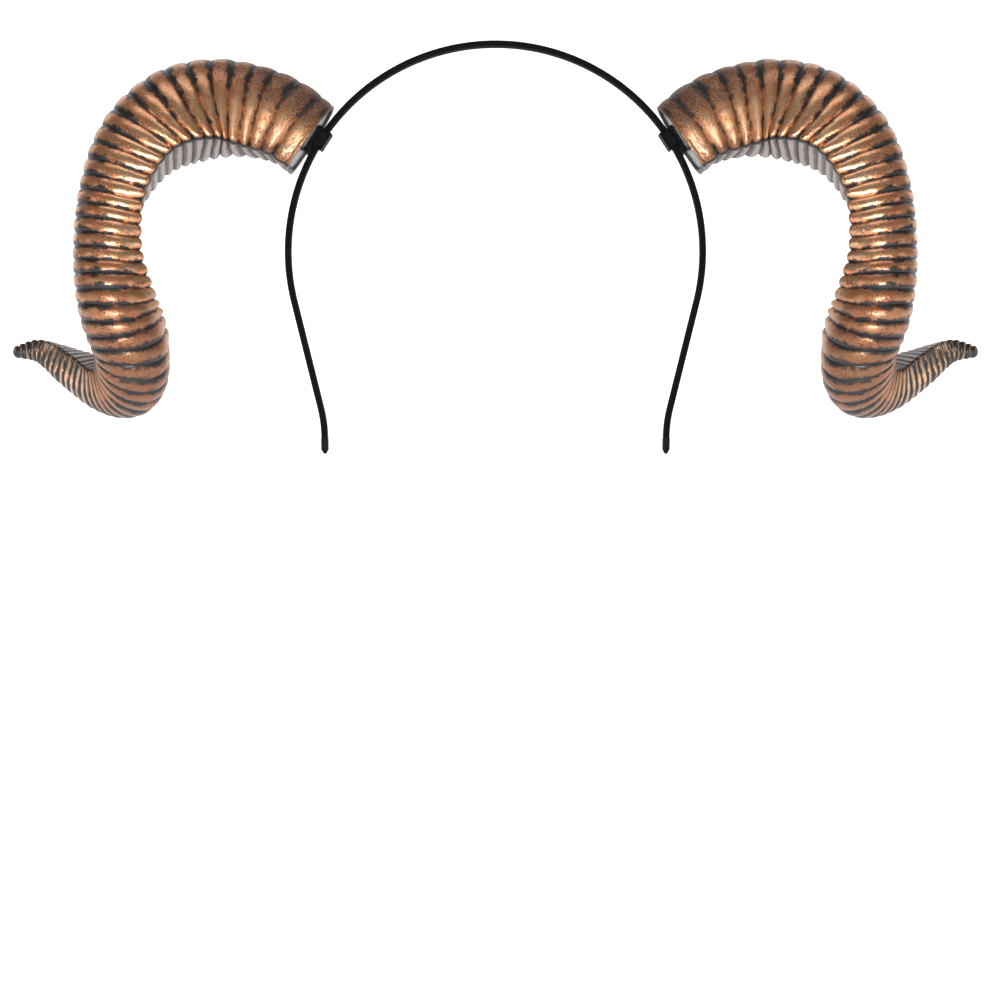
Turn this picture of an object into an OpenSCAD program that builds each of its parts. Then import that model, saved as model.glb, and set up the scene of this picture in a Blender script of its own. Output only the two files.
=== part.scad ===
// Costume headband with a pair of hollow ram's horns.
// Origin: centre of the band's crown arc. +X is the wearer's right, +Y the way the wearer faces, +Z up.
// The right-hand pieces are modelled and the left-hand ones are their mirror images.

/* [Band] */
// Radius of the crown arc, to the middle of the band
crown_r = 77.7; // [72:0.1:84]
// Angle from the top of the crown to each end of its arc
crown_half_angle = 104; // [96:0.5:108]
// Thickness of the covered band
band_t = 2.5; // [2.2:0.1:3]
// Width of the covered band, front to back
band_w = 6.2; // [6:0.1:8]
// Thickness of the spring strip
core_t = 1; // [0.8:0.1:1.2]
// Width of the spring strip
core_w = 4.8; // [4:0.1:5]
// Length of the straight part of each leg
leg_l = 41; // [30:1:60]
// Radius of the outward flare at the foot of each leg
flare_r = 50; // [40:5:140]
// Angle that the flare turns through
flare_angle = 13; // [3:0.5:15]
// Length of each end tip
tip_l = 6; // [5:0.5:10]

/* [Clip] */
// Angle from the top of the crown to the middle of each clip
clip_angle = 57.2; // [50:0.1:64]
// Length of the loop along the band
loop_l = 7.4; // [6:0.1:10]
// Thickness of the loop's walls
loop_wall = 1.3; // [1:0.1:1.8]
// Running clearance between the loop and the band
loop_gap = 0.08; // [0.05:0.01:0.1]
// Length of the clip's plate
plate_l = 11.1; // [10:0.1:13]
// Width of the clip's plate, front to back
plate_w = 17.2; // [17:0.1:18]
// Thickness of the clip's plate
plate_t = 1.5; // [1.2:0.1:2]

/* [Horn] */
// Radius from the crown's centre to the middle of the horn's open end
base_r = 80.8; // [80.6:0.1:81.5]
// How far the horn's centreline starts below the clip's middle
base_drop = 5.2; // [3:0.1:6]
// Forward lean of the horn's first stretch
base_tilt = 2; // [0:0.5:4]
// How far the horn's first stretch turns down from the clip's outward direction
base_turn = -2.3; // [-4:0.1:2]
// Number of ribs along the horn
rib_count = 51; // [40:1:58]
// Width of the last rib as a share of the first
rib_taper = 0.42; // [0.2:0.01:0.6]
// How far the ribs lean, in rib widths
rib_lean = 0.45; // [0:0.05:0.6]
// Depth of the grooves as a share of the horn's thickness
groove_depth = 0.05; // [0.02:0.01:0.06]
// Wall thickness of the hollow horn
wall = 2.2; // [1.8:0.1:2.6]
// How far the end cap is set back inside the horn
cap_recess = 0.8; // [0.6:0.1:2]
// Thickness of the end cap
cap_t = 2.5; // [2:0.1:3]

/* [Hidden] */
$fn = 64;

cover_black = "#1c1b1b";
clip_black = "#151515";
cap_grey = "#4d4b4a";
steel = "#9a9a9c";
copper = "#b06a43";

// Straight stretches of the band run this far into the curved ones, a hair's breadth thinner, so that
// they join
lap = 1;
lap_step = 0.01;
core_in_tip = 3;
tip_slope = 1.6;
tip_nose_t = 0.9;
tip_nose_w = 3.4;
corner_r = 0.8;

// The loop's bore is cut this far to each side of its middle, which is past both of its ends
bore_half_angle = 10;
pad_l = 9;
pad_w = 15.6;
cap_gap = 0.15;

// ---- The horn's curve -----------------------------------------------------------------------------

function unit(v) = v / norm(v);

// Point k + f of an evenly timed Catmull-Rom curve through a list of vectors
function spline(points, t) =
    let (
        last = len(points) - 1,
        k = min(floor(t), last - 1),
        f = t - k,
        b = points[k],
        c = points[k + 1],
        a = k > 0 ? points[k - 1] : 2 * b - c,
        d = k + 2 <= last ? points[k + 2] : 2 * c - b
    )
    0.5 * (2 * b + (c - a) * f + (2 * a - 5 * b + 4 * c - d) * f * f + (3 * b - a - 3 * c + d) * f * f * f);

// A list spread evenly over the horn's length, read at the share u of that length
function along(list, u) = spline(list, u * (len(list) - 1));

radial = [sin(clip_angle), 0, cos(clip_angle)];
tangent = [cos(clip_angle), 0, -sin(clip_angle)];
base_down = [cos(clip_angle + base_turn), 0, -sin(clip_angle + base_turn)];
base_out = [sin(clip_angle + base_turn), 0, cos(clip_angle + base_turn)];
base_axis = base_out * cos(base_tilt) + [0, sin(base_tilt), 0];
base_centre = radial * base_r + tangent * base_drop;
base_run = 12;

// The centreline: over the arch, down the stem, round the bottom and forward to the tip
HORN_PATH = [
    base_centre, base_centre + base_axis * base_run,
    [92.5, 0.5, 50.2], [106.5, -1.5, 51], [120, -7, 46.2], [130.5, -13, 35.7], [137.5, -20, 18.2],
    [139.8, -26, -3.3], [137.9, -28.5, -22.3], [133.6, -23.5, -38.3], [135.9, -12, -48.3], [146, 0.5, -49],
    [159, 10, -42.5], [171.5, 17, -36.2], [183.5, 22, -36.4],
];
// Depth towards the inside of the curl and away from it, and width across it, evenly spread along the horn
HORN_SIZE = [
    [12, 18, 25], [14.2, 20.2, 27.2], [14.8, 22, 27.3], [11.2, 19.5, 26.5], [8.3, 16.6, 24.8],
    [7.1, 15.7, 25.5], [8, 16.6, 28.2], [7.6, 15, 26.5], [7.3, 11.8, 20], [5.2, 8.2, 13.5], [1.4, 2.4, 3.7],
];
// The points that the flat side of the horn looks at, evenly spread along the horn
HORN_FOCUS = [
    [100, 0, -1.3], [101, -2.5, 0], [102.5, -14.5, 2.7], [103.3, -18.6, 3.5], [104.5, -17, 0.7],
    [107, -8, -7.3], [124, 0, -25.3], [142, -7, -27], [149, -4, -20.5], [160.5, 12, -9], [174, 28, -3],
];

// Arc length against spline time, used to read the curve at a share of its length
SAMPLES_PER_SPAN = 12;
span_count = len(HORN_PATH) - 1;
sample_t = [for (i = [0 : span_count * SAMPLES_PER_SPAN]) i / SAMPLES_PER_SPAN];
sample_p = [for (t = sample_t) spline(HORN_PATH, t)];
function running_length(i, total) =
    i >= len(sample_p) ? [] :
        let (s = total + norm(sample_p[i] - sample_p[i - 1]))
            concat([s], running_length(i + 1, s));
sample_s = concat([0], running_length(1, 0));
horn_l = sample_s[len(sample_s) - 1];
time_table = [for (i = [0 : len(sample_t) - 1]) [sample_s[i] / horn_l, sample_t[i]]];
function path_at(u) = spline(HORN_PATH, lookup(u, time_table));

// ---- The horn's section ---------------------------------------------------------------------------

RING_SIDES = 20;
FLAT_POWER = 6;
ROUND_POWER = 2;

// Point number i of the section's outline, pulled in by a wall thickness: x towards the inside of the curl,
// where the section is flat, and y across it
function section_angle(i) = 360 * (i + 0.5) / RING_SIDES;
function section_point(size, inset, i) =
    let (
        a = section_angle(i),
        power = cos(a) > 0 ? FLAT_POWER : ROUND_POWER,
        reach = pow(pow(abs(cos(a)), power) + pow(abs(sin(a)), power), -1 / power),
        depth = cos(a) > 0 ? size[0] : size[1]
    )
    [reach * cos(a) * (depth - inset), reach * sin(a) * (size[2] / 2 - inset)];
function section(size, inset) = [for (i = [0 : RING_SIDES - 1]) section_point(size, inset, i)];

// Point number i of the ring at the share u of the horn's length
function ring_point(u, scale, inset, i) =
    let (
        step = 0.002,
        p = path_at(u),
        forward = u <= 0 ? base_axis : unit(path_at(min(u + step, 1)) - path_at(max(u - step, 0))),
        aim = along(HORN_FOCUS, u) - p,
        inward = u <= 0 ? base_down : unit(aim - forward * (aim * forward)),
        across = cross(forward, inward),
        q = section_point(along(HORN_SIZE, u), inset, i)
    )
    p + scale * (inward * q[0] + across * q[1]);
function ring(u, scale, inset) = [for (i = [0 : RING_SIDES - 1]) ring_point(u, scale, inset, i)];

// Where rib number n starts, as a share of the horn's length: the ribs narrow evenly towards the tip
function rib_start(n) = let (x = n / rib_count) (x - (1 - rib_taper) * x * x / 2) / ((1 + rib_taper) / 2);

// The ribs lean towards the tip on the horn's back face, in rib widths; the first and last ones stay square
BASE_CALM = 3;
TIP_CALM = 20;
function lean(n, i) =
    -rib_lean * min(1, n / BASE_CALM) * min(1, (rib_count - n) / TIP_CALM) * sin(section_angle(i));
function leaning_ring(n, scale) = [
    for (i = [0 : RING_SIDES - 1])
        ring_point(rib_start(n + lean(n, i)), scale, 0, i)
];

CAVITY_END = 0.88;
CAVITY_RINGS = 22;
outer_rings = [
    for (h = [0 : 2 * rib_count])
        leaning_ring(h / 2, (h % 2 == 1 || h == 0) ? 1 : 1 - groove_depth)
];
inner_rings = [for (i = [0 : CAVITY_RINGS]) ring(CAVITY_END * i / CAVITY_RINGS, 1, wall)];

function flat_list(lists) = [for (l = lists) for (p = l) p];

// Two triangles for each side between consecutive rings, the first ring starting at point number start
function skin(start, rings) = [
    for (r = [0 : rings - 2])
        for (i = [0 : RING_SIDES - 1])
            let (
                j = (i + 1) % RING_SIDES,
                a = start + r * RING_SIDES,
                b = a + RING_SIDES
            )
            each [[a + i, a + j, b + j], [a + i, b + j, b + i]]
];
function fan(start, apex) = [
    for (i = [0 : RING_SIDES - 1])
        [start + i, start + (i + 1) % RING_SIDES, apex]
];
function rim(a, b) = [
    for (i = [0 : RING_SIDES - 1])
        let (j = (i + 1) % RING_SIDES)
        each [[a + i, a + j, b + j], [a + i, b + j, b + i]]
];
function reversed(faces) = [for (f = faces) [f[2], f[1], f[0]]];

module horn_shell() {
    outer_n = len(outer_rings) * RING_SIDES;
    inner_n = len(inner_rings) * RING_SIDES;
    tip_axis = unit(path_at(1) - path_at(0.99));
    cavity_axis = unit(path_at(CAVITY_END) - path_at(CAVITY_END - 0.01));
    nose_l = 1;
    points = concat(
        flat_list(outer_rings), flat_list(inner_rings),
        [path_at(1) + tip_axis * nose_l, path_at(CAVITY_END) + cavity_axis * nose_l]
    );
    faces = concat(
        skin(0, len(outer_rings)),
        fan(outer_n - RING_SIDES, outer_n + inner_n),
        reversed(skin(outer_n, len(inner_rings))),
        reversed(fan(outer_n + inner_n - RING_SIDES, outer_n + inner_n + 1)),
        reversed(rim(0, outer_n))
    );
    color(copper) polyhedron(points, reversed(faces), convexity = 10);
}

// ---- Places on the band ---------------------------------------------------------------------------

// x runs down the band, y forward and z outward, from the crown's centre through the clip
module at_clip() { rotate([0, clip_angle, 0]) children(); }

// x runs to the inside of the curl, z into the horn, from the middle of its open end
module at_base() {
    at_clip() translate([base_drop, 0, base_r])
        rotate([0, base_turn, 0]) rotate([-base_tilt, 0, 0]) children();
}

// x runs down the leg and z outward, from the end of the crown arc
module at_leg() {
    translate([crown_r * sin(crown_half_angle), 0, crown_r * cos(crown_half_angle)])
        rotate([0, crown_half_angle, 0]) children();
}

// The same at the foot of the flare
module at_foot() {
    at_leg() translate([leg_l, 0, flare_r])
        rotate([0, -flare_angle, 0]) translate([0, 0, -flare_r]) children();
}

module on_left() { mirror([1, 0, 0]) children(); }

// A strip bent round the Y axis, from one angle above +X to another
module bent_strip(radius, from, to, thick, wide) {
    rotate([90, 0, 0]) rotate([0, 0, from]) rotate_extrude(angle = to - from, $fn = 360)
        translate([radius, 0]) square([thick, wide], center = true);
}

// A straight strip along x, reaching into the bent ones by the lap
module straight_strip(length, thick, wide) {
    translate([length / 2, 0, 0])
        cube([length + 2 * lap, wide - 2 * lap_step, thick - 2 * lap_step], center = true);
}

// ---- The band -------------------------------------------------------------------------------------

// A strip over the whole band, running past the feet of the flares by a further length
module band_run(thick, wide, further) {
    bent_strip(crown_r, 90 - crown_half_angle, 90 + crown_half_angle, thick, wide);
    for (m = [0, 1]) mirror([m, 0, 0]) {
        at_leg() straight_strip(leg_l, thick, wide);
        at_leg() translate([leg_l, 0, flare_r]) bent_strip(flare_r, -90, flare_angle - 90, thick, wide);
        if (further > 0) at_foot() straight_strip(further - lap, thick, wide);
    }
}

module band_core() {
    color(steel) band_run(core_t, core_w, core_in_tip);
}

module band_cover() {
    color(cover_black) difference() {
        band_run(band_t, band_w, 0);
        band_run(core_t, core_w, core_in_tip);
    }
}

// A hard end tip that slopes to a blunt nose in both directions
module band_tip() {
    slope_x = tip_l - tip_slope;
    color(cover_black) at_foot() difference() {
        intersection() {
            rotate([90, 0, 0]) linear_extrude(band_w, center = true) polygon([
                [0, -band_t / 2], [slope_x, -band_t / 2], [tip_l, -tip_nose_t / 2],
                [tip_l, tip_nose_t / 2], [slope_x, band_t / 2], [0, band_t / 2],
            ]);
            linear_extrude(band_t, center = true) polygon([
                [0, -band_w / 2], [slope_x, -band_w / 2], [tip_l, -tip_nose_w / 2],
                [tip_l, tip_nose_w / 2], [slope_x, band_w / 2], [0, band_w / 2],
            ]);
        }
        translate([0, -core_w / 2, -core_t / 2]) cube([core_in_tip, core_w, core_t]);
    }
}

// ---- The clip -------------------------------------------------------------------------------------

plate_z = crown_r + band_t / 2 + loop_gap;
plate_x = -loop_l / 2;

// A block from z = 0 up, with its four upright edges rounded
module rounded_block(x, y, z, r) {
    translate([r, 0, 0]) cube([x - 2 * r, y, z]);
    translate([0, r, 0]) cube([x, y - 2 * r, z]);
    for (a = [r, x - r], b = [r, y - r]) translate([a, b, 0]) cylinder(z, r, r, $fn = 32);
}

// The loop runs on the band; its outer wall is the plate that carries the horn
module clip_loop() {
    loop_w = band_w + 2 * (loop_gap + loop_wall);
    loop_z = crown_r - band_t / 2 - loop_gap - loop_wall;
    loop_h = plate_z - loop_z + plate_t / 2;
    color(clip_black) difference() {
        at_clip() {
            translate([plate_x, -loop_w / 2, loop_z]) rounded_block(loop_l, loop_w, loop_h, corner_r);
            translate([plate_x, -plate_w / 2, plate_z]) rounded_block(plate_l, plate_w, plate_t, corner_r);
        }
        bent_strip(
            crown_r, 90 - clip_angle - bore_half_angle, 90 - clip_angle + bore_half_angle,
            band_t + 2 * loop_gap, band_w + 2 * loop_gap
        );
    }
}

// ---- The horn's end cap ---------------------------------------------------------------------------

// A plug set just inside the horn's open end, with a raised pad that is bonded to the clip's plate
module horn_cap() {
    pad_z = plate_z + plate_t;
    pad_h = base_r + cap_recess + cap_t / 2 - pad_z;
    pad_x = plate_x + (plate_l - pad_l) / 2;
    color(cap_grey) {
        at_base() translate([0, 0, cap_recess]) linear_extrude(cap_t)
            polygon(section(HORN_SIZE[0], wall + cap_gap));
        at_clip() translate([pad_x, -pad_w / 2, pad_z]) rounded_block(pad_l, pad_w, pad_h, corner_r);
    }
}

band_core();
band_cover();
band_tip();  // band_tip_right
on_left() band_tip();  // band_tip_left
clip_loop();  // clip_loop_right
on_left() clip_loop();  // clip_loop_left
horn_cap();  // horn_cap_right
on_left() horn_cap();  // horn_cap_left
horn_shell();  // horn_shell_right
on_left() horn_shell();  // horn_shell_left
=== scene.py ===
"""Looks of the ram-horn headband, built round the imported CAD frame.

Shapes are worked out in millimetres in the frame's own axes (+X wearer's right, +Y forward, +Z up) and
scaled to metres when a mesh is made. The right horn is built and the left one is its mirror image.
"""

import math
from types import SimpleNamespace

import bpy
import numpy as np
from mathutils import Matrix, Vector


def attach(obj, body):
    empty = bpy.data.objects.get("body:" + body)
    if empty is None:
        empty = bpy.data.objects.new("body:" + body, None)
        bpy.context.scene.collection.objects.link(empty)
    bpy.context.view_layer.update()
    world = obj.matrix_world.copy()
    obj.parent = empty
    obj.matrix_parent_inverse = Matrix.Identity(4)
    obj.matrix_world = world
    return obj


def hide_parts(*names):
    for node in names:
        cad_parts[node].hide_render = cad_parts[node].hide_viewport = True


MM = 0.001
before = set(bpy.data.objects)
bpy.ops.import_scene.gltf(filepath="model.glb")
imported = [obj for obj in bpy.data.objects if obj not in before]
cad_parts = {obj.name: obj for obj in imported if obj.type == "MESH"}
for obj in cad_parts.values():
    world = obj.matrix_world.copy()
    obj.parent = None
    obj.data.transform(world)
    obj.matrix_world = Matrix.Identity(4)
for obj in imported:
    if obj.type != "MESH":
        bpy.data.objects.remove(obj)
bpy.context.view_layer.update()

# ---- The horn's curve and section, as in the CAD part (mm and degrees) --------------------------------

CLIP_ANGLE = math.radians(57.2)
BASE_TURN = math.radians(-2.3)
BASE_TILT = math.radians(2)
BASE_R = 80.8
BASE_DROP = 5.2
BASE_RUN = 12
RIB_COUNT = 51
RIB_TAPER = 0.42
WALL = 2.2
CAVITY_END = 0.88
NOSE_L = 1
FLAT_POWER = 6
ROUND_POWER = 2.0
SAMPLES_PER_SPAN = 12


def outward(angle):
    """Away from the crown's centre, at an angle from the top towards the wearer's right."""
    return np.array([math.sin(angle), 0, math.cos(angle)])


def downward(angle):
    """Down along the band, at an angle from the top."""
    return np.array([math.cos(angle), 0, -math.sin(angle)])


BASE_DOWN = downward(CLIP_ANGLE + BASE_TURN)
BASE_OUT = outward(CLIP_ANGLE + BASE_TURN)
BASE_AXIS = BASE_OUT * math.cos(BASE_TILT) + np.array([0, math.sin(BASE_TILT), 0])
BASE_CENTRE = outward(CLIP_ANGLE) * BASE_R + downward(CLIP_ANGLE) * BASE_DROP

# The centreline, from the middle of the open base to the tip.
HORN_PATH = np.array([
    BASE_CENTRE, BASE_CENTRE + BASE_AXIS * BASE_RUN,
    [92.5, 0.5, 50.2], [106.5, -1.5, 51], [120, -7, 46.2], [130.5, -13, 35.7], [137.5, -20, 18.2],
    [139.8, -26, -3.3], [137.9, -28.5, -22.3], [133.6, -23.5, -38.3], [135.9, -12, -48.3], [146, 0.5, -49],
    [159, 10, -42.5], [171.5, 17, -36.2], [183.5, 22, -36.4],
], float)
# Depth towards the inside of the curl, depth outside and width, at even steps along the horn.
HORN_SIZE = np.array([
    [12, 18, 25], [14.2, 20.2, 27.2], [14.8, 22, 27.3], [11.2, 19.5, 26.5],
    [8.3, 16.6, 24.8], [7.1, 15.7, 25.5], [8, 16.6, 28.2], [7.6, 15, 26.5],
    [7.3, 11.8, 20], [5.2, 8.2, 13.5], [1.4, 2.4, 3.7],
], float)
# The points that the flat inner side faces, at the same steps.
HORN_FOCUS = np.array([
    [100, 0, -1.3], [101, -2.5, 0], [102.5, -14.5, 2.7], [103.3, -18.6, 3.5],
    [104.5, -17, 0.7], [107, -8, -7.3], [124, 0, -25.3], [142, -7, -27],
    [149, -4, -20.5], [160.5, 12, -9], [174, 28, -3],
], float)


def unit(v):
    return v / np.linalg.norm(v, axis=-1, keepdims=True)


def spline(points, t):
    """Points of an evenly timed Catmull-Rom curve through a list of vectors."""
    ends = [2 * points[0] - points[1], 2 * points[-1] - points[-2]]
    padded = np.vstack([ends[:1], points, ends[1:]])
    k = np.clip(np.floor(t).astype(int), 0, len(points) - 2)
    f = (t - k)[..., None]
    a, b, c, d = (padded[k + i] for i in range(4))
    cubic = 3 * b - a - 3 * c + d
    return 0.5 * (2 * b + (c - a) * f + (2 * a - 5 * b + 4 * c - d) * f**2 + cubic * f**3)


def along(points, u):
    """A list spread evenly over the horn's length, read at the shares u of that length."""
    return spline(points, u * (len(points) - 1))


SPLINE_TIMES = np.arange((len(HORN_PATH) - 1) * SAMPLES_PER_SPAN + 1) / SAMPLES_PER_SPAN
RUNNING_LENGTH = np.concatenate(
    [[0], np.cumsum(np.linalg.norm(np.diff(spline(HORN_PATH, SPLINE_TIMES), axis=0), axis=1))]
)
HORN_LENGTH = RUNNING_LENGTH[-1]


def path_at(u):
    """Points of the centreline at the shares u of the horn's length."""
    return spline(HORN_PATH, np.interp(u * HORN_LENGTH, RUNNING_LENGTH, SPLINE_TIMES))


def rib_start(n):
    """Where rib number n starts, as a share of the horn's length."""
    x = n / RIB_COUNT
    return (x - (1 - RIB_TAPER) * x * x / 2) / ((1 + RIB_TAPER) / 2)


def rib_pitch(n):
    """Width in mm of the ribs about rib number n."""
    return HORN_LENGTH * (1 - (1 - RIB_TAPER) * n / RIB_COUNT) / (RIB_COUNT * (1 + RIB_TAPER) / 2)


def axes_at(u):
    """Forward, inward and across directions at the shares u of the horn's length."""
    step = 0.002
    forward = unit(path_at(np.minimum(u + step, 1)) - path_at(np.maximum(u - step, 0)))
    aim = along(HORN_FOCUS, u) - path_at(u)
    inward = unit(aim - forward * np.sum(aim * forward, axis=-1, keepdims=True))
    squareness = np.clip(1 - u / rib_start(0.5), 0, 1)[..., None]
    forward = unit(forward + (BASE_AXIS - forward) * squareness)
    inward = unit(inward + (BASE_DOWN - inward) * squareness)
    return forward, inward, np.cross(forward, inward)


def section(u, angle, inset):
    """Offsets from the centreline towards the inside of the curl and across it, in mm."""
    size = along(HORN_SIZE, u)
    c, s = np.cos(angle), np.sin(angle)
    power = np.where(c > 0, FLAT_POWER, ROUND_POWER)
    reach = (np.abs(c) ** power + np.abs(s) ** power) ** (-1 / power)
    depth = np.where(c > 0, size[..., 0], size[..., 1]) - inset
    return reach * c * depth, reach * s * (size[..., 2] / 2 - inset)


# ---- Meshes -------------------------------------------------------------------------------------------


def tube_faces(rows, sides):
    """Quads between the rows of a closed tube, each row holding one ring of points."""
    r, i = np.meshgrid(np.arange(rows - 1), np.arange(sides), indexing="ij")
    a, j = r * sides, (i + 1) % sides
    return np.stack([a + i, a + j, a + sides + j, a + sides + i], axis=-1).reshape(-1, 4).tolist()


def fan_faces(start, sides, apex, flipped):
    """Triangles from one ring to the point that closes it."""
    ring = [(start + i, start + (i + 1) % sides) for i in range(sides)]
    return [(b, a, apex) if flipped else (a, b, apex) for a, b in ring]


def make_mesh(name, points_mm, faces, attributes):
    """A smooth object from points in mm, with point attributes given as {name: array}."""
    mesh = bpy.data.meshes.new(name)
    mesh.from_pydata((points_mm * MM).tolist(), [], faces)
    for attribute, values in attributes.items():
        is_vector = values.ndim == 2
        layer = mesh.attributes.new(attribute, "FLOAT_VECTOR" if is_vector else "FLOAT", "POINT")
        layer.data.foreach_set("vector" if is_vector else "value", values.astype(np.float32).ravel())
    mesh.polygons.foreach_set("use_smooth", np.ones(len(mesh.polygons), bool))
    mesh.validate()
    piece = bpy.data.objects.new(name, mesh)
    bpy.context.scene.collection.objects.link(piece)
    return piece


def lumps(points, wave_count, shortest, longest, seed):
    """Smooth random heights from -1 to 1 at the points: a sum of waves in random directions."""
    rng = np.random.default_rng(seed)
    total = np.zeros(points.shape[:-1])
    for _ in range(wave_count):
        wave = unit(rng.normal(size=3)) * 2 * math.pi / rng.uniform(shortest, longest)
        total += np.sin(points @ wave + rng.uniform(0, 2 * math.pi))
    return total / math.sqrt(2 * wave_count)


# ---- The horns ----------------------------------------------------------------------------------------

# The mesh: points round the horn, rows on each rib and rows in the hollow.
SIDES = 96
ROWS_PER_RIB = 12
CAVITY_ROWS = 24
# The base's rim, from the outside over the edge to the cavity: mm up the horn and mm in from its outside.
RIM_PROFILE = np.array([
    [0.5, 0], [0.15, 0.04], [0.03, 0.18], [0, 0.5], [0, 1.7], [0.05, 2.08], [0.3, WALL],
])
# How far from a crest the paint takes the rim and the hollow to be.
RIM_CREST = 0.35
# A rib's depth is a share of its width, and the sharp bottom of the groove takes a share of that depth.
RIB_DEPTH = 0.19
GROOVE_START = 0.72
GROOVE_SHARE = 0.2
# The ribs start at a share of their full depth and reach it after some ribs, but are full on the inner side.
BASE_DEPTH = 0.55
DEPTH_GROWS = 9
INNER_SIDE_END = math.radians(90)
INNER_SIDE_FADE = math.radians(40)
# Wander and lean are in rib widths. Wander fades over the base's calm ribs at both ends of the horn.
RIB_WANDER = 0.065
WANDER_HARMONICS = 5
WANDER_SEED = 11
RIB_LEAN = 0.45
BASE_CALM = 3
TIP_CALM = 20
# The keels along both edges of the flat inner side, notched by the grooves, and the dish between them.
KEEL_ANGLE = math.radians(48)
KEEL_SPREAD = math.radians(6)
KEEL_H = 0.45
KEEL_NOTCH = 0.7
NOTCH_SPREAD = math.radians(18)
DISH_DEPTH = 0.5
DISH_EDGE = math.radians(43)
DISH_SLOPE = math.radians(8)
# Keels, dish and lumps reach their full height at a share of the horn's length, and fade where it is thin.
KEEL_FULL_AT = 1 / 60
LUMPS_FULL_AT = 1 / 12
FULL_RELIEF_R = 12
LUMP_H = 0.05
LUMP_WAVES = 24
LUMP_SIZES = (3, 9)
LUMP_SEED = 5
END_STEP = 0.01


def bell(value, middle, spread):
    """A smooth bump that is 1 at the middle."""
    return np.exp(-(((value - middle) / spread) ** 2))


def rib_wander(n, angle):
    """How far, in rib widths, each rib wanders to and fro as it goes round the horn."""
    rng = np.random.default_rng(WANDER_SEED)
    harmonics = np.arange(1, WANDER_HARMONICS + 1)
    size = rng.normal(size=(RIB_COUNT + 2, len(harmonics))) / harmonics
    phase = rng.uniform(0, 2 * math.pi, size=(RIB_COUNT + 2, len(harmonics)))
    wave = (size[:, None] * np.sin(harmonics * angle[:, None] + phase[:, None])).sum(axis=-1)
    k = np.clip(n.astype(int), 0, RIB_COUNT)
    f = (n - k)[:, None]
    return (wave[k] * (1 - f) + wave[k + 1] * f) * RIB_WANDER / 2


def rib_shift(n, angle):
    """How far, in rib widths, wander and lean move the ribs along the horn: not at all at its ends."""
    from_base = np.clip(n / BASE_CALM, 0, 1)
    wander_fade = from_base * np.clip((RIB_COUNT - n) / BASE_CALM, 0, 1)
    lean = RIB_LEAN * from_base * np.clip((RIB_COUNT - n) / TIP_CALM, 0, 1)
    return rib_wander(n, angle) * wander_fade[:, None] - lean[:, None] * np.sin(angle)


def rib_rows():
    """Rib numbers of the rows outside, from the tip to the rim, closest together in the grooves."""
    step = (1 - np.cos(math.pi * np.arange(ROWS_PER_RIB) / ROWS_PER_RIB)) / 2
    from_rim = (np.arange(RIB_COUNT)[:, None] + step).ravel()[1:]
    return np.concatenate([[RIB_COUNT], from_rim[::-1]])


def rib_depth(n, from_crest, from_inside):
    """How far, in mm, the ribs are cut in: less near the base's outer side, and more beside the keels."""
    groove = np.clip((from_crest - GROOVE_START) / (1 - GROOVE_START), 0, 1)
    profile = (1 - GROOVE_SHARE) * from_crest**2 + GROOVE_SHARE * groove**2
    grown = BASE_DEPTH + (1 - BASE_DEPTH) * np.clip((n - 1) / DEPTH_GROWS, 0, 1)
    near_inside = np.clip((INNER_SIDE_END - from_inside) / INNER_SIDE_FADE, 0, 1)
    notch = KEEL_NOTCH * bell(from_inside, KEEL_ANGLE, NOTCH_SPREAD)
    full = (RIB_DEPTH * rib_pitch(n))[:, None]
    return full * (np.maximum(grown[:, None], near_inside) + notch) * profile


def relief(straight, u, from_inside):
    """Height in mm of the lumps, the keels and the dished inner side on the horn's outside."""
    rough = LUMP_H * (lumps(straight, LUMP_WAVES, *LUMP_SIZES, LUMP_SEED) - 1)
    keel = KEEL_H * bell(from_inside, KEEL_ANGLE, KEEL_SPREAD)
    dish = DISH_DEPTH * np.clip((DISH_EDGE - from_inside) / DISH_SLOPE, 0, 1)
    return rough * np.clip(u / LUMPS_FULL_AT, 0, 1) + (keel - dish) * np.clip(u / KEEL_FULL_AT, 0, 1)


def inner_rows():
    """Shares of the length, and insets in mm, of the rows that go over the rim and up the cavity."""
    cavity_u = np.linspace(0, CAVITY_END, CAVITY_ROWS + 1)[1:]
    u = np.concatenate([RIM_PROFILE[:, 0] / HORN_LENGTH, cavity_u])
    inset = np.concatenate([RIM_PROFILE[:, 1], np.full(CAVITY_ROWS, WALL)])
    return u, inset


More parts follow.
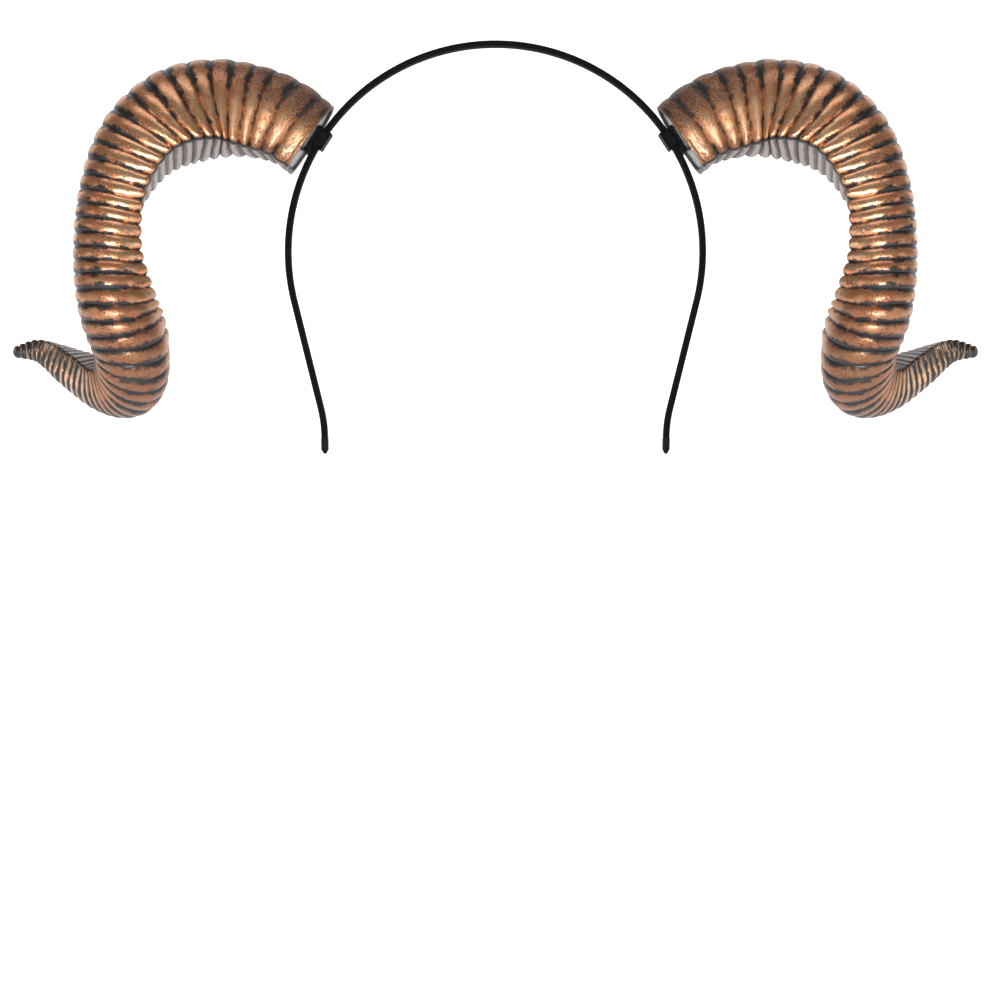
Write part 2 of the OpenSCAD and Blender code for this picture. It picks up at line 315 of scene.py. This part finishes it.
def horn_grid():
    """The shell's points, in rows from the tip over the rim into the cavity, and their attributes."""
    angle = (np.arange(SIDES) + 0.5) * 2 * math.pi / SIDES
    from_inside = np.abs((angle + math.pi) % (2 * math.pi) - math.pi)
    n = rib_rows()
    u = rib_start(n[:, None] + rib_shift(n, angle))
    from_crest = np.abs(2 * (n % 1) - 1)[:, None] * np.ones(SIDES)
    depth = rib_depth(n, from_crest, from_inside)

    inner_u, inner_inset = inner_rows()
    outer = u[:, 0] > inner_u[0]
    ring = np.ones((len(inner_u), SIDES))
    u = np.vstack([u[outer], inner_u[:, None] * ring])
    inset = np.vstack([0 * depth[outer], inner_inset[:, None] * ring])
    depth = np.vstack([depth[outer], 0 * ring])
    from_crest = np.vstack([from_crest[outer], RIM_CREST * ring])

    towards, sideways = section(u, np.broadcast_to(angle, u.shape), inset)
    reach = np.hypot(towards, sideways)
    straight = np.stack([u * HORN_LENGTH, towards, sideways], axis=-1)
    raised = relief(straight, u, from_inside) * (inset == 0) * np.clip(reach / FULL_RELIEF_R, 0, 1)
    scale = 1 + (raised - depth) / reach
    forward, inward, across = axes_at(u)
    points = path_at(u) + inward * (towards * scale)[..., None] + across * (sideways * scale)[..., None]
    attributes = {
        "from_crest": from_crest,
        "inside": np.clip(inset - 1, 0, 1),
        "along": u,
        "from_inside": np.degrees(np.broadcast_to(from_inside, u.shape)),
        "paint_at": straight,
    }
    return points, attributes


def close_ends(points, attributes):
    """Adds the point at the tip and the one at the bottom of the cavity to the flattened grid."""
    ends = []
    for u in (1.0, CAVITY_END):
        here, before = path_at(np.array(u)), path_at(np.array(u - END_STEP))
        ends.append(here + unit(here - before) * NOSE_L)
    closed = {}
    for name, values in attributes.items():
        flat_values = values.reshape((-1,) + values.shape[2:])
        closed[name] = np.concatenate([flat_values, values[[0, -1]].mean(axis=1)])
    return np.vstack([points.reshape(-1, 3), ends]), closed


def make_horns():
    """The two horn shells: the right one and its mirror image."""
    points, attributes = horn_grid()
    rows = len(points)
    flat, closed = close_ends(points, attributes)
    faces = tube_faces(rows, SIDES)
    faces += fan_faces(0, SIDES, rows * SIDES, True)
    faces += fan_faces((rows - 1) * SIDES, SIDES, rows * SIDES + 1, False)
    mirrored = [tuple(reversed(face)) for face in faces]
    horns = []
    for side, sign, side_faces in (("right", 1, faces), ("left", -1, mirrored)):
        horn = make_mesh(f"horn_{side}", flat * np.array([sign, 1, 1]), side_faces, closed)
        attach(horn, f"horn_{side}")
        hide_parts(f"horn_shell_{side}")
        horns.append(horn)
    return horns


# ---- The band's woven cover ---------------------------------------------------------------------------

# The band, as in the CAD part (mm and degrees): an arc, straight legs and flared ends.
CROWN_R = 77.7
CROWN_HALF_ANGLE = math.radians(104)
LEG_L = 41
FLARE_R = 50
FLARE_ANGLE = math.radians(13)
BAND_T = 2.5
BAND_W = 6.2
# The weave's cords run across the band.
WEAVE_PITCH = 0.8
WEAVE_ROWS = 4
WEAVE_DEPTH = 0.05
COVER_SIDES = 36
COVER_POWER = 5
HEM_L = 0.5
HEM_DEPTH = 0.12


def band_line(s):
    """Points and outward normals of the band's middle line, s mm from the top of the crown."""
    distance = np.abs(s)
    arc_l, leg_end = CROWN_R * CROWN_HALF_ANGLE, CROWN_R * CROWN_HALF_ANGLE + LEG_L
    on_arc = np.minimum(distance, arc_l) / CROWN_R
    turned = np.clip(distance - leg_end, 0, None) / FLARE_R
    leg = np.clip(distance - arc_l, 0, LEG_L)
    out = np.stack([np.sin(on_arc), 0 * on_arc, np.cos(on_arc)], axis=-1)
    down = np.stack([np.cos(on_arc), 0 * on_arc, -np.sin(on_arc)], axis=-1)
    normal = out * np.cos(turned)[:, None] - down * np.sin(turned)[:, None]
    flare = out * FLARE_R - normal * FLARE_R
    points = out * CROWN_R + down * leg[:, None] + flare
    side = np.where(s < 0, -1, 1)[:, None] * np.array([1, 0, 0]) + np.array([0, 1, 1])
    return points * side, normal * side


def make_cover():
    """The sleeve: a flat rounded tube along the band, with crosswise cords and hemmed ends."""
    half_l = CROWN_R * CROWN_HALF_ANGLE + LEG_L + FLARE_R * FLARE_ANGLE
    rows = 2 * int(half_l * WEAVE_ROWS / WEAVE_PITCH) + 1
    s = np.linspace(-half_l, half_l, rows)
    angle = (np.arange(COVER_SIDES) + 0.5) * 2 * math.pi / COVER_SIDES
    c, d = np.cos(angle), np.sin(angle)
    reach = (np.abs(c) ** COVER_POWER + np.abs(d) ** COVER_POWER) ** (-1 / COVER_POWER)
    cord = (1 - np.cos(2 * math.pi * s / WEAVE_PITCH)) / 2 * WEAVE_DEPTH
    hem = np.clip(1 - (half_l - np.abs(s)) / HEM_L, 0, 1) ** 2 * HEM_DEPTH
    drawn_in = (cord + hem)[:, None]
    out = reach * c * (BAND_T / 2 - drawn_in)
    forward = reach * d * (BAND_W / 2 - drawn_in)
    middle, normal = band_line(s)
    points = middle[:, None] + out[..., None] * normal[:, None] + forward[..., None] * np.array([0, 1, 0])
    flat = np.vstack([points.reshape(-1, 3), middle[[0, -1]]])
    faces = tube_faces(rows, COVER_SIDES)
    faces += fan_faces(0, COVER_SIDES, rows * COVER_SIDES, True)
    faces += fan_faces((rows - 1) * COVER_SIDES, COVER_SIDES, rows * COVER_SIDES + 1, False)
    spread = np.broadcast_to(s[:, None], (rows, COVER_SIDES))
    around = np.broadcast_to(angle * (BAND_T + BAND_W) / math.pi, (rows, COVER_SIDES))
    weave = np.stack([spread, around, 0 * spread], axis=-1).reshape(-1, 3)
    weave = np.vstack([weave, [[s[0], 0, 0], [s[-1], 0, 0]]])
    cover = make_mesh("woven_cover", flat, faces, {"weave_at": weave})
    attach(cover, "band")
    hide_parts("band_cover")
    return cover


# ---- Materials ----------------------------------------------------------------------------------------


class Finish:
    """One procedural material: helpers that add a node and give back its output."""

    def __init__(self, name, constants):
        self.material = bpy.data.materials.new(name)
        self.material.use_nodes = True
        self.tree = self.material.node_tree
        self.shader = self.tree.nodes["Principled BSDF"]
        for socket, value in constants.items():
            self.shader.inputs[socket].default_value = value

    def feed(self, socket, value):
        """Links an output to a socket, or sets the socket to a plain value."""
        if isinstance(value, bpy.types.NodeSocket):
            self.tree.links.new(value, socket)
        else:
            socket.default_value = value

    def shade(self, **outputs):
        """Links outputs to the shader's sockets: Base_Color=..., Roughness=..., Normal=..."""
        for name, value in outputs.items():
            self.feed(self.shader.inputs[name.replace("_", " ")], value)

    def attribute(self, name, output="Fac"):
        node = self.tree.nodes.new("ShaderNodeAttribute")
        node.attribute_name = name
        return node.outputs[output]

    def object_mm(self):
        """Object coordinates in mm, for the CAD pieces."""
        node = self.tree.nodes.new("ShaderNodeTexCoord")
        return self.stretched(node.outputs["Object"], (1 / MM, 1 / MM, 1 / MM))

    def stretched(self, vector, scale):
        node = self.tree.nodes.new("ShaderNodeMapping")
        self.feed(node.inputs["Vector"], vector)
        node.inputs["Scale"].default_value = scale
        return node.outputs["Vector"]

    def separate(self, vector, axis):
        node = self.tree.nodes.new("ShaderNodeSeparateXYZ")
        self.feed(node.inputs["Vector"], vector)
        return node.outputs[axis]

    def noise(self, vector, per_mm, detail=3.0, roughness=0.55, distortion=0.0):
        node = self.tree.nodes.new("ShaderNodeTexNoise")
        self.feed(node.inputs["Vector"], vector)
        node.inputs["Scale"].default_value = per_mm
        node.inputs["Detail"].default_value = detail
        node.inputs["Roughness"].default_value = roughness
        node.inputs["Distortion"].default_value = distortion
        return node.outputs["Fac"]

    def waves(self, vector, per_mm, axis, distortion=0.0):
        node = self.tree.nodes.new("ShaderNodeTexWave")
        node.bands_direction = axis
        self.feed(node.inputs["Vector"], vector)
        node.inputs["Scale"].default_value = per_mm
        node.inputs["Distortion"].default_value = distortion
        return node.outputs["Fac"]

    def math(self, operation, a, b):
        node = self.tree.nodes.new("ShaderNodeMath")
        node.operation = operation
        self.feed(node.inputs[0], a)
        self.feed(node.inputs[1], b)
        return node.outputs[0]

    def add(self, *terms):
        """Sum of outputs or of (output, factor) pairs."""
        total = None
        for term in terms:
            value = self.times(*term) if isinstance(term, tuple) else term
            total = value if total is None else self.math("ADD", total, value)
        return total

    def times(self, a, b):
        return self.math("MULTIPLY", a, b)

    def rest(self, value):
        """What is left of one."""
        return self.math("SUBTRACT", 1.0, value)

    def highest(self, first, *others):
        for other in others:
            first = self.math("MAXIMUM", first, other)
        return first

    def swing(self, noise, size):
        """A noise as a swing to both sides of zero."""
        return self.times(self.add(noise, -0.5), size)

    def ramp(self, value, low, high, to_low=0.0, to_high=1.0):
        """A smooth step of the value from low to high."""
        node = self.tree.nodes.new("ShaderNodeMapRange")
        node.interpolation_type = "SMOOTHSTEP"
        for socket, v in zip(node.inputs[:5], (value, low, high, to_low, to_high)):
            self.feed(socket, v)
        return node.outputs[0]

    def mix(self, factor, a, b):
        node = self.tree.nodes.new("ShaderNodeMix")
        node.data_type = "RGBA"
        for index, value in ((0, factor), (6, a), (7, b)):
            self.feed(node.inputs[index], value)
        return node.outputs[2]

    def bump(self, height, distance_mm, normal=None, strength=1.0):
        node = self.tree.nodes.new("ShaderNodeBump")
        node.inputs["Strength"].default_value = strength
        node.inputs["Distance"].default_value = distance_mm * MM
        self.feed(node.inputs["Height"], height)
        if normal is not None:
            self.feed(node.inputs["Normal"], normal)
        return node.outputs["Normal"]

    def soft_edges(self, radius_mm):
        node = self.tree.nodes.new("ShaderNodeBevel")
        node.samples = 8
        node.inputs["Radius"].default_value = radius_mm * MM
        return node.outputs["Normal"]


SOOT = (0.013, 0.010, 0.010, 1)
UMBER = (0.11, 0.055, 0.035, 1)
COPPER = (0.76, 0.33, 0.150, 1)
ORANGE = (0.78, 0.26, 0.11, 1)
GOLD = (0.96, 0.70, 0.43, 1)
ROSE_GREY = (0.34, 0.27, 0.25, 1)
DULL_BLACK = (0.085, 0.078, 0.076, 1)
RAW_RESIN = (0.055, 0.048, 0.045, 1)


def paint_textures(f):
    """Noises on the straightened horn; streaks, smudges and grit are longer round it than along it."""
    at = f.attribute("paint_at", "Vector")
    return SimpleNamespace(
        groove=f.attribute("from_crest"),
        streaks=f.noise(f.stretched(at, (1.0, 0.22, 0.22)), 1.3, 5, 0.65),
        smudges=f.noise(f.stretched(at, (1.0, 0.6, 0.6)), 0.28, 5, 0.66),
        patches=f.noise(at, 0.14, 2),
        blotches=f.noise(at, 0.7, 4, 0.62, 0.4),
        grit=f.noise(f.stretched(at, (1.8, 0.7, 0.7)), 2.2, 4, 0.75),
    )


def paint_zones(f):
    """Zones of the horn, by degrees from the middle of its inner side and by the share of its length."""
    turned = f.attribute("from_inside")
    along_horn = f.attribute("along")
    return SimpleNamespace(
        outer=f.ramp(turned, 95, 160),
        lit=f.times(f.ramp(turned, 50, 62), f.ramp(turned, 125, 92)),
        inner=f.ramp(turned, 46, 42),
        under_keel=f.times(f.ramp(turned, 40, 44), f.ramp(turned, 50, 46)),
        tip=f.ramp(along_horn, 0.70, 0.86),
        nose=f.ramp(along_horn, 0.955, 0.995),
        base=f.ramp(along_horn, 0.26, 0.02),
        low=f.times(f.ramp(along_horn, 0.50, 0.66), f.ramp(along_horn, 0.86, 0.76)),
        cavity=f.attribute("inside"),
    )


def grooves_reached(f, t, z):
    """How deep in a groove a place is, as a wandering brush finds it."""
    return f.add(
        t.groove, f.swing(t.smudges, 2.2), f.swing(t.blotches, 0.5), f.swing(t.streaks, 0.7),
        (z.outer, 0.20), (z.lit, -0.12), (z.tip, 0.46), (z.nose, 0.25), (z.base, -0.13),
    )


def bare_black(f, t, z, grooves):
    """Where the black ground shows: in the grooves, under the keels, and in missed or worn spots."""
    black = f.ramp(grooves, 0.80, 0.92)
    misses = f.times(f.ramp(t.streaks, 0.58, 0.68), f.ramp(t.blotches, 0.50, 0.62))
    worn = f.add((z.base, 0.12), (f.ramp(t.patches, 0.42, 0.62), 0.04), (z.outer, 0.05), (z.lit, -0.05))
    specks = f.ramp(f.add(t.grit, worn), 0.59, 0.68, 0.0, 0.85)
    return f.highest(z.under_keel, f.times(f.highest(black, misses, specks), f.rest(z.inner)))


def paint_colour(f, t, z, grooves, bare):
    """Copper with orange patches, gold on the crests, umber in the shade, and grey on the inner side."""
    catches_brush = f.ramp(f.add(t.smudges, (z.lit, 0.12), (z.tip, 0.1)), 0.40, 0.70)
    brushed = f.times(f.ramp(t.groove, 0.8, 0.1), catches_brush)
    paint = f.mix(f.ramp(t.patches, 0.50, 0.66, 0, 0.8), COPPER, ORANGE)
    paint = f.mix(f.times(brushed, f.add((z.lit, 0.35), (z.tip, 0.15), 0.22)), paint, GOLD)
    paint = f.mix(f.add((z.outer, 0.08), (z.base, 0.32), (z.low, 0.58)), paint, UMBER)
    paint = f.mix(f.ramp(grooves, 0.52, 0.90), paint, UMBER)
    shade = f.add(t.groove, f.swing(t.smudges, 0.9), f.swing(t.streaks, 0.5))
    paint = f.mix(z.inner, paint, f.mix(f.ramp(shade, 0.25, 0.70), ROSE_GREY, DULL_BLACK))
    paint = f.mix(bare, paint, SOOT)
    return f.mix(z.cavity, paint, RAW_RESIN)


def antique_bronze():
    """Bronze paint dry-brushed over black: black left in the grooves, gold caught by the crests."""
    f = Finish("antique_bronze", {"Coat Roughness": 0.18, "Coat IOR": 1.5})
    t = paint_textures(f)
    z = paint_zones(f)
    grooves = grooves_reached(f, t, z)
    bare = bare_black(f, t, z, grooves)
    matt = f.highest(z.cavity, f.times(z.inner, 0.85))
    glossy = f.ramp(f.highest(bare, z.base, z.low), 1.0, 0.0, 0.2, 0.9)
    height = f.add((t.blotches, 0.25), (t.streaks, 0.15), (bare, -0.6), (t.grit, 0.25))
    f.shade(
        Base_Color=paint_colour(f, t, z, grooves, bare),
        Metallic=f.times(f.times(f.rest(bare), 0.86), f.rest(matt)),
        Roughness=f.add(
            (bare, 0.06), (t.blotches, 0.16), (matt, 0.30), (z.base, 0.16), (z.outer, 0.06), (z.low, 0.10),
            0.17,
        ),
        Normal=f.bump(height, 0.16),
        Coat_Weight=f.times(glossy, f.rest(matt)),
    )
    return f.material


def woven_black():
    """Black ribbed weave: crosswise cords with fine threads over them."""
    f = Finish("woven_black", {"Roughness": 0.85, "Sheen Weight": 0.02, "Specular IOR Level": 0.08})
    at = f.attribute("weave_at", "Vector")
    threads = f.waves(at, 1.6, "Y", 0.6)
    cords = f.waves(at, 1 / WEAVE_PITCH, "X")
    fuzz = f.noise(at, 6, 4, 0.7)
    worn = f.noise(at, 0.12, 3)
    tone = f.add((threads, 0.35), (fuzz, 0.45), (worn, 0.35), (cords, 0.12))
    f.shade(
        Base_Color=f.mix(f.ramp(tone, 0.35, 0.95), (0.0020, 0.0019, 0.0019, 1), (0.009, 0.0085, 0.0083, 1)),
        Normal=f.bump(f.add((threads, 0.6), (fuzz, 0.7)), 0.05),
    )
    return f.material


def moulded(name, dark, light, roughness, edge_mm, constants):
    """Moulded plastic with a fine grain, slight cloudiness and softened edges."""
    f = Finish(name, constants)
    at = f.object_mm()
    cloud = f.noise(at, 0.35, 3)
    grain = f.noise(at, 7, 4, 0.65)
    scuffs = f.noise(f.stretched(at, (0.4, 2.2, 0.5)), 1.2, 4, 0.6)
    wear = f.ramp(scuffs, 0.58, 0.75, 0, 0.5)
    f.shade(
        Base_Color=f.mix(f.add((cloud, 0.6), (wear, 0.5), (grain, 0.2)), dark, light),
        Roughness=f.add((grain, 0.16), (wear, 0.25), roughness - 0.08),
        Normal=f.bump(f.add(grain, (cloud, 0.8)), 0.025, f.soft_edges(edge_mm)),
    )
    return f.material


def steel(name, tint, brush):
    """Plated or rolled steel, brushed along one axis."""
    f = Finish(name, {"Metallic": 1.0})
    at = f.object_mm()
    lines = f.noise(f.stretched(at, brush), 3, 4, 0.7)
    cloud = f.noise(at, 0.6, 3)
    dull = tuple(0.55 * c for c in tint[:3]) + (1,)
    f.shade(
        Base_Color=f.mix(f.add((cloud, 0.7), (lines, 0.4)), dull, tint),
        Roughness=f.add((lines, 0.25), (cloud, 0.15), 0.14),
        Normal=f.bump(lines, 0.01, f.soft_edges(0.12)),
    )
    return f.material


def dress(obj, material):
    """Gives an object its only material, and a slot name where it has none yet."""
    obj.data.materials.clear()
    obj.data.materials.append(material)


# ---- The whole object ---------------------------------------------------------------------------------

bronze = antique_bronze()
for horn in make_horns():
    dress(horn, bronze)
dress(make_cover(), woven_black())

clip_black = moulded(
    "clip_black", (0.002, 0.002, 0.0022, 1), (0.006, 0.0055, 0.006, 1), 0.5, 0.25,
    {"Specular IOR Level": 0.04},
)
tip_black = moulded(
    "tip_black", (0.002, 0.002, 0.002, 1), (0.007, 0.0067, 0.0065, 1), 0.55, 0.3,
    {"Specular IOR Level": 0.08},
)
cap_grey = moulded(
    "cap_grey", (0.05, 0.047, 0.046, 1), (0.13, 0.125, 0.12, 1), 0.30, 0.25,
    {"Coat Weight": 0.25},
)
spring = steel("spring_steel", (0.45, 0.46, 0.50, 1), (3, 0.2, 3))
LOOKS = {
    "band_core": (spring, "spring_steel"),
    "band_tip": (tip_black, "tip_plastic"),
    "clip_loop": (clip_black, "clip_plastic"),
    "horn_cap": (cap_grey, "cap_plastic"),
}
for name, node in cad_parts.items():
    for start, (material, slot) in LOOKS.items():
        if name.startswith(start):
            dress(node, material)

# ---- Studio -------------------------------------------------------------------------------------------

# The studio is in metres, except where a name says mm.
FLOOR_Z = -0.25
BACKDROP_Y = 1.1
SWEEP_R = 0.5
STAGE_HALF_W = 4.0
STAGE_FRONT_Y = -3.0
BACKDROP_TOP = 3.5
SWEEP_STEPS = 24
GLOW_STARTS_Y_MM = -700
GLOW_FULL_Y_MM = -250
CAMERA_PLACE = (0.0017, -1.2, -0.0932)
CAMERA_LENS = 115.2
SENSOR_W = 36
MIDDLE = (0, 0, 0)


def make_backdrop():
    """A pale floor that curves up into the backdrop."""
    profile = [(STAGE_FRONT_Y, FLOOR_Z)]
    for i in range(SWEEP_STEPS + 1):
        turn = math.pi / 2 * i / SWEEP_STEPS
        profile.append((BACKDROP_Y + SWEEP_R * math.sin(turn), FLOOR_Z + SWEEP_R * (1 - math.cos(turn))))
    profile.append((BACKDROP_Y + SWEEP_R, BACKDROP_TOP))
    points = [(x, y, z) for y, z in profile for x in (-STAGE_HALF_W, STAGE_HALF_W)]
    faces = [(2 * i, 2 * i + 1, 2 * i + 3, 2 * i + 2) for i in range(len(profile) - 1)]
    mesh = bpy.data.meshes.new("backdrop")
    mesh.from_pydata(points, [], faces)
    mesh.polygons.foreach_set("use_smooth", np.ones(len(faces), bool))
    backdrop = bpy.data.objects.new("backdrop", mesh)
    bpy.context.scene.collection.objects.link(backdrop)
    f = Finish("backdrop_paper", {"Roughness": 0.9, "Specular IOR Level": 0.1, "Emission Strength": 0.72})
    at = f.object_mm()
    paper = f.mix(f.noise(at, 0.004, 2), (0.93, 0.93, 0.935, 1), (0.96, 0.96, 0.96, 1))
    towards_object = f.ramp(f.separate(at, "Y"), GLOW_STARTS_Y_MM, GLOW_FULL_Y_MM)
    glow = f.mix(towards_object, (0.42, 0.42, 0.42, 1), paper)
    f.shade(Base_Color=paper, Emission_Color=glow)
    mesh.materials.append(f.material)


def area_light(name, place, target, size, watts):
    light = bpy.data.lights.new(name, "AREA")
    light.shape = "RECTANGLE"
    light.size, light.size_y = size
    light.energy = watts
    lamp = bpy.data.objects.new(name, light)
    lamp.location = place
    lamp.rotation_mode = "QUATERNION"
    lamp.rotation_quaternion = (Vector(target) - Vector(place)).to_track_quat("-Z", "Y")
    bpy.context.scene.collection.objects.link(lamp)


def make_camera():
    camera = bpy.data.cameras.new("camera")
    camera.sensor_width = SENSOR_W
    camera.lens = CAMERA_LENS
    camera.clip_start, camera.clip_end = 0.01, 20
    eye = bpy.data.objects.new("camera", camera)
    eye.location = CAMERA_PLACE
    eye.rotation_euler = (math.radians(90), 0, 0)
    bpy.context.scene.collection.objects.link(eye)
    bpy.context.scene.camera = eye


def make_light():
    world = bpy.data.worlds.new("studio")
    world.use_nodes = True
    sky = world.node_tree.nodes["Background"]
    sky.inputs["Color"].default_value = (1.0, 1.0, 1.0, 1)
    sky.inputs["Strength"].default_value = 0.09
    bpy.context.scene.world = world
    area_light("key", (0, -1.7, -0.1), MIDDLE, (0.70, 0.26), 21)
    area_light("top", (0, -0.5, 1.6), MIDDLE, (1.4, 0.6), 4)
    for side in (-1, 1):
        area_light(f"side_{side}", (1.5 * side, -1.0, 0.1), MIDDLE, (0.35, 1.0), 2)


make_backdrop()
make_light()
make_camera()
bpy.context.scene.view_settings.view_transform = "Standard"
